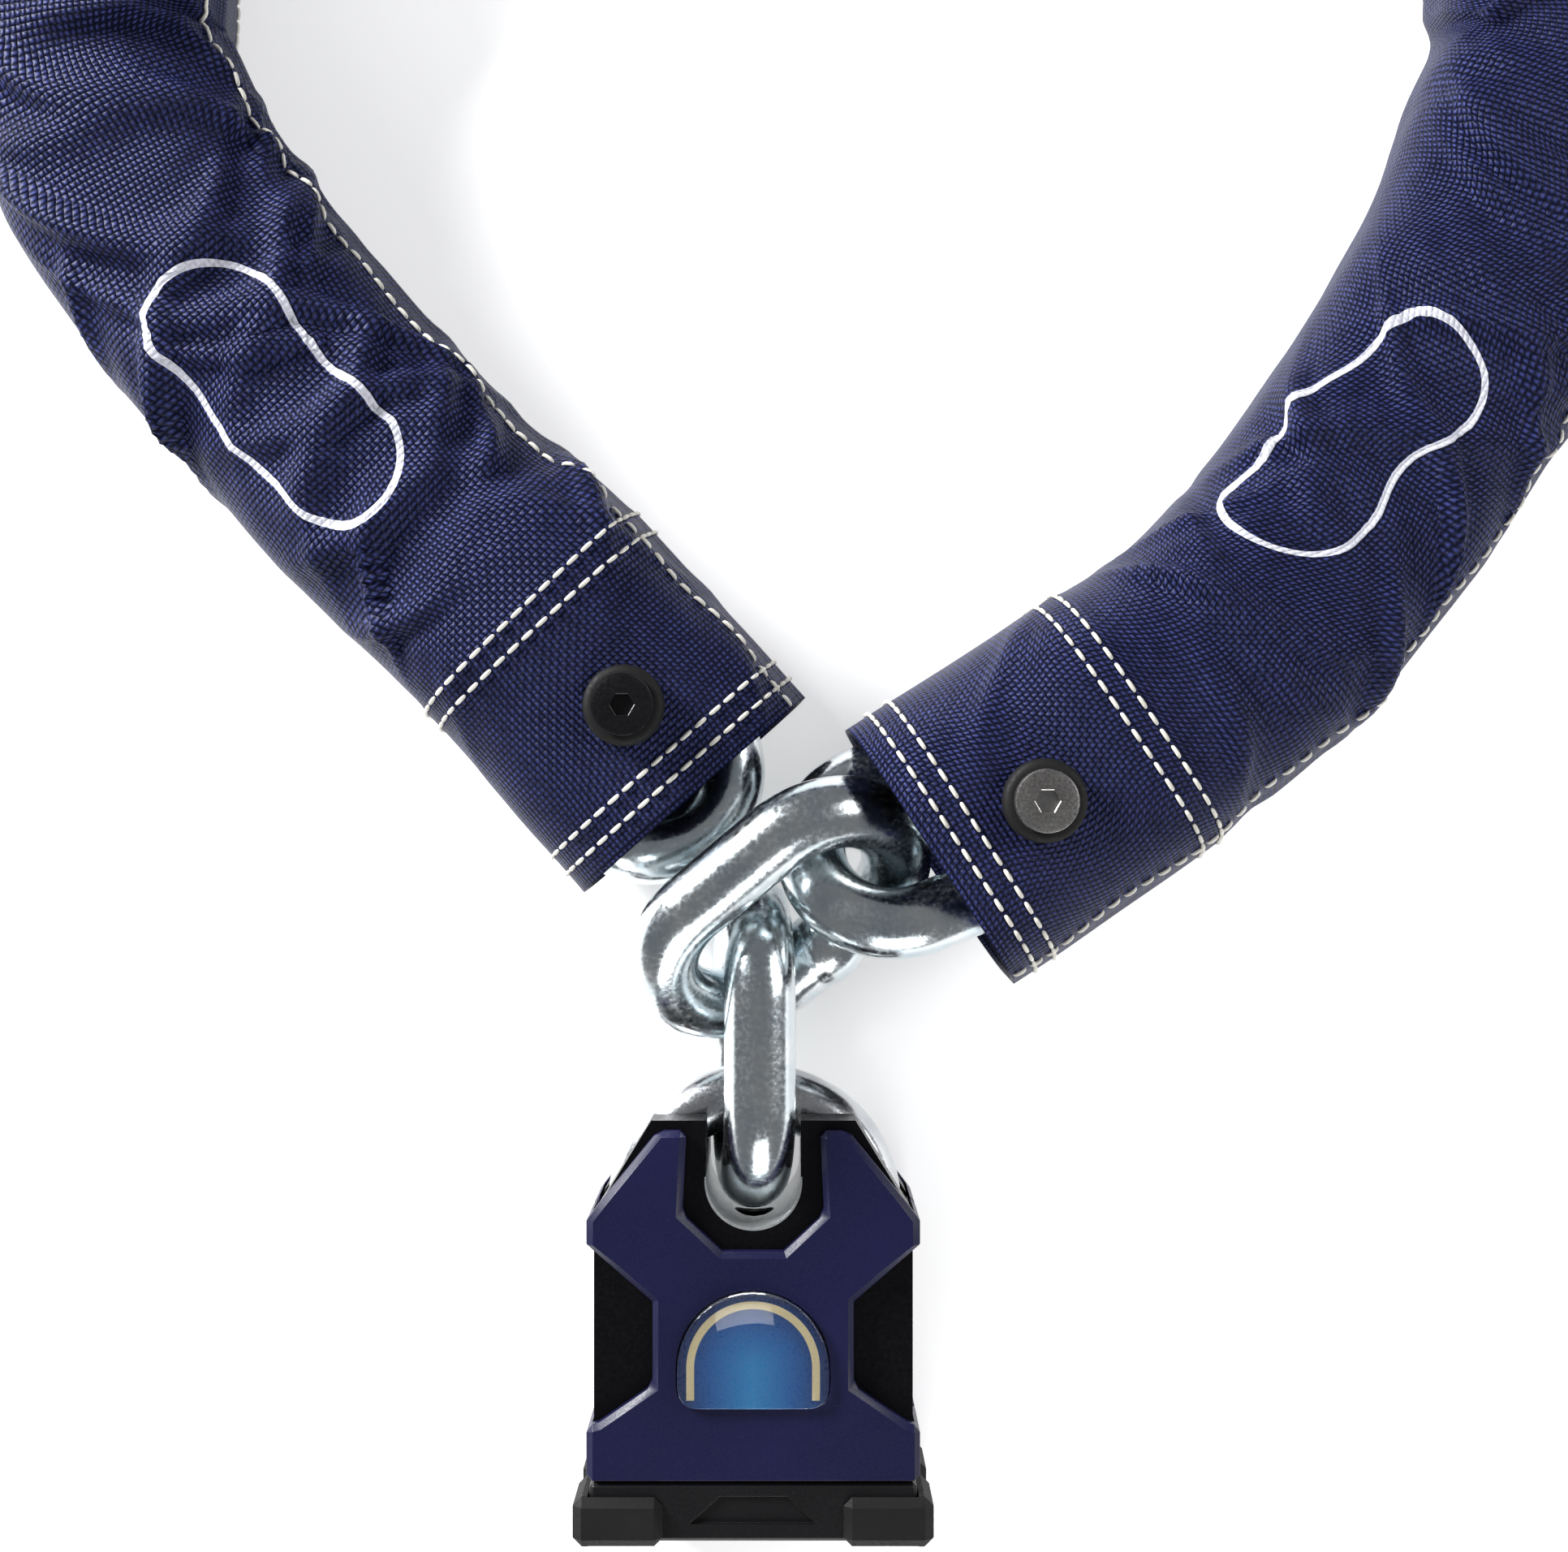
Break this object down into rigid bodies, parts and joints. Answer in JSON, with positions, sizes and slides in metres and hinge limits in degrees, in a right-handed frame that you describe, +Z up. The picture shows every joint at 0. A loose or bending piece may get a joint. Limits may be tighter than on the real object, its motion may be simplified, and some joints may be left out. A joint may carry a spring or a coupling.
{
  "type": "chain lock",
  "caption": "Security chain in a woven fabric sleeve, its end links looped into a ring and held by a padlock with closed shoulders and a straight-pull shackle.",
  "frame": {"origin": "under the middle of the whole object, on the surface it lies on", "axes": "+Y from the lock towards the far end of the chain loop, +Z up out of the lock's badge, +X to the right seen from above with the lock nearest"},
  "size_m": [0.3545, 0.4705, 0.0654],
  "materials": {
    "zinc_plated_steel": "bright zinc plate, lightly satin",
    "sleeve_nylon": "coarse basket weave, dark navy",
    "bolt_steel": "machined face",
    "collar_rubber": "satin black",
    "blackened_steel": "satin black",
    "cover_plastic": "satin navy",
    "badge_print": "printed blue disc in a cream arch",
    "clear_resin": "clear domed resin",
    "base_plastic": "satin black",
    "bumper_rubber": "matt black",
    "brass": "machined",
    "bright_steel": "ground"
  },
  "bodies": {
    "chain": {"sleeve": "sleeve_nylon", "link_01": "zinc_plated_steel", "link_02": "zinc_plated_steel", "link_03": "zinc_plated_steel", "link_04": "zinc_plated_steel", "link_05": "zinc_plated_steel", "link_06": "zinc_plated_steel", "link_07": "zinc_plated_steel", "link_08": "zinc_plated_steel", "link_09": "zinc_plated_steel", "link_10": "zinc_plated_steel", "link_11": "zinc_plated_steel", "link_12": "zinc_plated_steel", "link_13": "zinc_plated_steel", "link_14": "zinc_plated_steel", "link_15": "zinc_plated_steel", "link_16": "zinc_plated_steel", "link_17": "zinc_plated_steel", "link_18": "zinc_plated_steel", "link_19": "zinc_plated_steel", "link_20": "zinc_plated_steel", "link_21": "zinc_plated_steel", "link_22": "zinc_plated_steel", "link_23": "zinc_plated_steel", "link_24": "zinc_plated_steel", "sleeve_bolt_left": "bolt_steel", "sleeve_bolt_right": "bolt_steel", "bolt_collar_left": "collar_rubber", "bolt_collar_right": "collar_rubber", "barrel_nut_left": "bolt_steel", "barrel_nut_right": "bolt_steel"},
    "ring": {"ring_link": "zinc_plated_steel"},
    "end": {"end_link": "zinc_plated_steel"},
    "shackle": {"shackle": "blackened_steel"},
    "lock": {"lock_body": "blackened_steel", "front_cover": "cover_plastic", "rear_cover": "cover_plastic", "badge_plate": "badge_print", "badge_dome": "clear_resin", "base_cap": "base_plastic", "cylinder_housing": "brass", "bumper_rear_left": "bumper_rubber", "bumper_rear_right": "bumper_rubber", "bumper_front_left": "bumper_rubber", "bumper_front_right": "bumper_rubber", "driver_pin_1": "bright_steel", "driver_pin_2": "bright_steel", "driver_pin_3": "bright_steel", "driver_pin_4": "bright_steel", "driver_pin_5": "bright_steel"},
    "plug": {"key_plug": "brass", "cam": "bright_steel"},
    "ball_left": {"ball_left": "bright_steel"},
    "ball_right": {"ball_right": "bright_steel"},
    "shutter": {"dust_shutter": "bright_steel"}
  },
  "joints": [
    {"name": "ring_swing", "type": "hinge", "parent": "chain", "child": "ring", "pos_m": [-0.00316, -0.10485, 0.0367], "axis": [-0.3929, 0.8036, -0.4471], "range_deg": [-15, 15]},
    {"name": "end_link_swing", "type": "hinge", "parent": "ring", "child": "end", "pos_m": [-0.01412, -0.12948, 0.02105], "axis": [0.7566, 0.6349, 0.1564], "range_deg": [-20, 20]},
    {"name": "shackle_swing", "type": "hinge", "parent": "end", "child": "shackle", "pos_m": [-0.0157, -0.1492, 0.021], "axis": [1, 0, 0], "range_deg": [-45, 45]},
    {"name": "lock_slide", "type": "slide", "parent": "shackle", "child": "lock", "axis": [0, -1, 0], "range_m": [0, 0.045]},
    {"name": "plug_turn", "type": "hinge", "parent": "lock", "child": "plug", "pos_m": [-0.0157, -0.2337, 0.021], "axis": [0, -1, 0], "range_deg": [0, 90]},
    {"name": "ball_left_slide", "type": "slide", "parent": "lock", "child": "ball_left", "axis": [-1, 0, 0], "range_m": [0, 0.0024]},
    {"name": "ball_right_slide", "type": "slide", "parent": "lock", "child": "ball_right", "axis": [1, 0, 0], "range_m": [0, 0.0024]},
    {"name": "shutter_slide", "type": "slide", "parent": "lock", "child": "shutter", "axis": [1, 0, 0], "range_m": [0, 0.012]}
  ],
  "couplings": [
    {"joint": "ball_left_slide", "follows": "plug_turn", "m_per_rad": 0.0015279},
    {"joint": "ball_right_slide", "follows": "plug_turn", "m_per_rad": 0.0015279}
  ]
}
